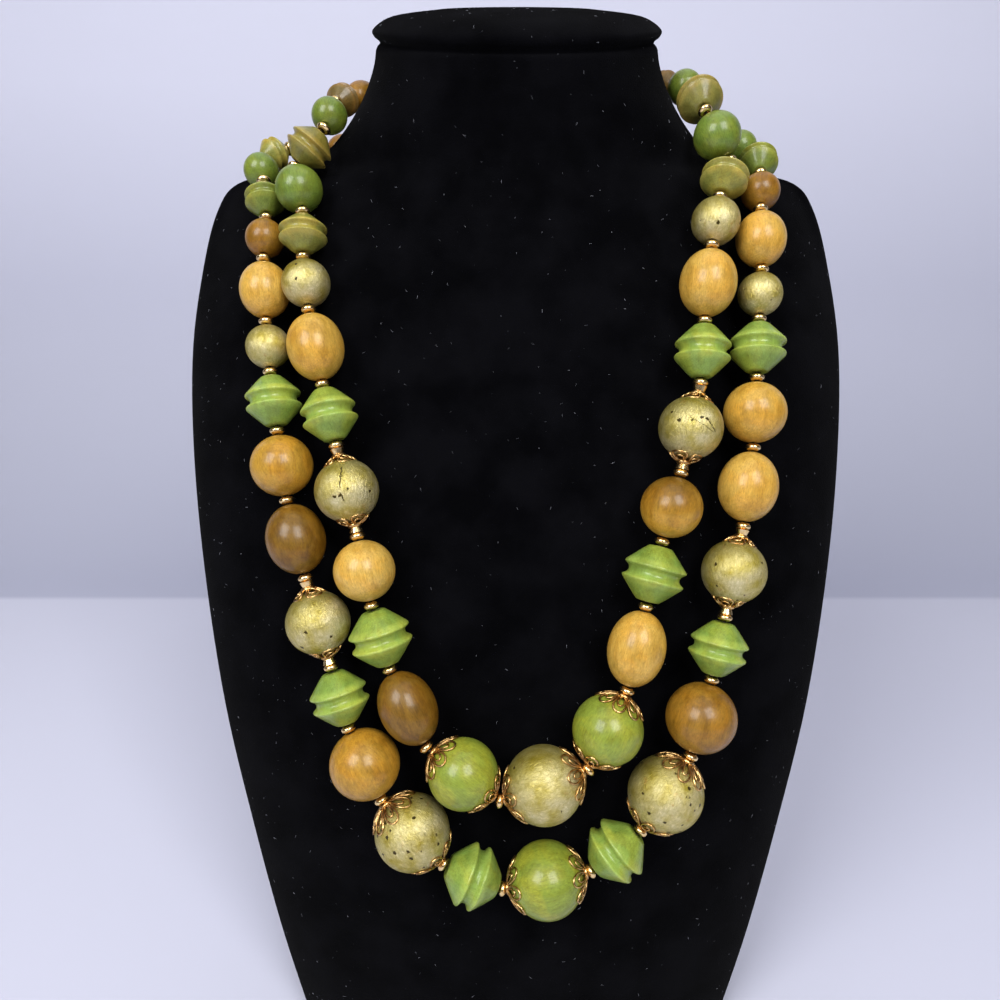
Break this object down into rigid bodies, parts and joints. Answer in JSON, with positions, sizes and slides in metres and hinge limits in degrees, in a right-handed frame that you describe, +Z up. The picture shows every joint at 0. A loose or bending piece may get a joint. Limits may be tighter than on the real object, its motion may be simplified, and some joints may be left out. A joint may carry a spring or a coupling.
{
  "type": "beaded necklace on a neck bust",
  "caption": "Beaded necklace of round, oval and bicone beads with pierced bead caps and gold spacers, its strands laid over a plain velvet neck bust.",
  "frame": {"origin": "centre of the bust's flat base, on the surface that it stands on", "axes": "+Z up, the front with the strands faces -Y, +X to the right as seen from the front"},
  "size_m": [0.231, 0.1618, 0.3679],
  "materials": {
    "velvet": "matt black velvet pile",
    "gold": "polished gold plate",
    "antique_metal": "antique gold plate",
    "strung_small_beads": "small lacquered beads between polished gold spacers",
    "pearl_bead": "pearl lacquer over wood, finely crazed",
    "green_bead": "satin green stain",
    "brown_bead": "glossy brown stain",
    "honey_bead": "glossy honey stain"
  },
  "bodies": {
    "root": {"display_bust": "velvet", "clasp": "gold", "inner_left_string": "strung_small_beads", "inner_right_string": "strung_small_beads", "inner_centre_bead": "pearl_bead", "inner_centre_cap_near": "antique_metal", "inner_centre_cap_far": "antique_metal", "inner_left_1_bead": "green_bead", "inner_left_1_cap_near": "antique_metal", "inner_left_1_cap_far": "antique_metal", "inner_left_2_bead": "brown_bead", "inner_left_3_bead": "green_bead", "inner_left_4_bead": "honey_bead", "inner_left_5_bead": "pearl_bead", "inner_left_5_cap_near": "antique_metal", "inner_left_5_cap_far": "antique_metal", "inner_left_6_bead": "green_bead", "inner_left_7_bead": "honey_bead", "inner_left_8_bead": "pearl_bead", "inner_right_1_bead": "green_bead", "inner_right_1_cap_near": "antique_metal", "inner_right_1_cap_far": "antique_metal", "inner_right_2_bead": "honey_bead", "inner_right_3_bead": "green_bead", "inner_right_4_bead": "brown_bead", "inner_right_5_bead": "pearl_bead", "inner_right_5_cap_near": "antique_metal", "inner_right_5_cap_far": "antique_metal", "inner_right_6_bead": "green_bead", "inner_right_7_bead": "honey_bead", "inner_right_8_bead": "pearl_bead", "outer_left_string": "strung_small_beads", "outer_right_string": "strung_small_beads", "outer_centre_bead": "green_bead", "outer_centre_cap_near": "antique_metal", "outer_centre_cap_far": "antique_metal", "outer_left_1_bead": "green_bead", "outer_left_2_bead": "pearl_bead", "outer_left_2_cap_near": "antique_metal", "outer_left_2_cap_far": "antique_metal", "outer_left_3_bead": "brown_bead", "outer_left_4_bead": "green_bead", "outer_left_5_bead": "pearl_bead", "outer_left_5_cap_near": "antique_metal", "outer_left_5_cap_far": "antique_metal", "outer_left_6_bead": "brown_bead", "outer_left_7_bead": "honey_bead", "outer_left_8_bead": "green_bead", "outer_right_1_bead": "green_bead", "outer_right_2_bead": "pearl_bead", "outer_right_2_cap_near": "antique_metal", "outer_right_2_cap_far": "antique_metal", "outer_right_3_bead": "brown_bead", "outer_right_4_bead": "green_bead", "outer_right_5_bead": "pearl_bead", "outer_right_5_cap_near": "antique_metal", "outer_right_5_cap_far": "antique_metal", "outer_right_6_bead": "honey_bead", "outer_right_7_bead": "honey_bead", "outer_right_8_bead": "green_bead"}
  },
  "joints": []
}
